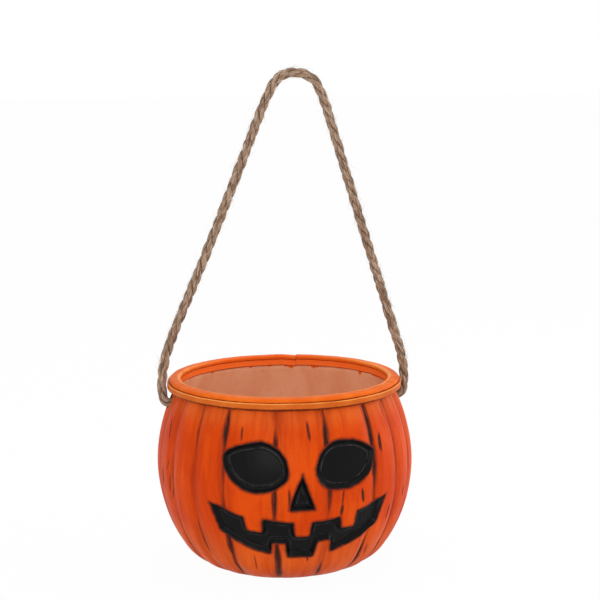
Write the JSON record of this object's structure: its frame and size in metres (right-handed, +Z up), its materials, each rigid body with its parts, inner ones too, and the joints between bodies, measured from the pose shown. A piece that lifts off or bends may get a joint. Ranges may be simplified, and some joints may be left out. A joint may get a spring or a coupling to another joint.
{
  "type": "pumpkin candy pail",
  "caption": "Open ribbed pumpkin pail with a sunk grinning face, an edged rim and a swinging rope handle knotted inside, for carrying sweets.",
  "frame": {"origin": "middle of the flat foot, on the surface that the pail stands on", "axes": "+Z up out of the open mouth, -Y out of the face, X through the two rope holes"},
  "size_m": [0.215, 0.2149, 0.4154],
  "materials": {
    "shell": "satin painted latex, with brown in the grooves and gloss black in the face",
    "edging": "satin orange paint",
    "strip": "satin yellowish orange paint",
    "rope": "rough natural jute"
  },
  "bodies": {
    "pail": {"pail_shell": "shell", "rim_cap": "edging", "rim_band": "strip"},
    "handle": {"rope_handle": "rope", "rope_knot_left": "rope", "rope_knot_right": "rope", "rope_tail_left": "rope", "rope_tail_right": "rope"}
  },
  "joints": [
    {"name": "handle_swing", "type": "hinge", "parent": "pail", "child": "handle", "pos_m": [0, 0, 0.14], "axis": [1, 0, 0], "range_deg": [-105, 105]}
  ]
}
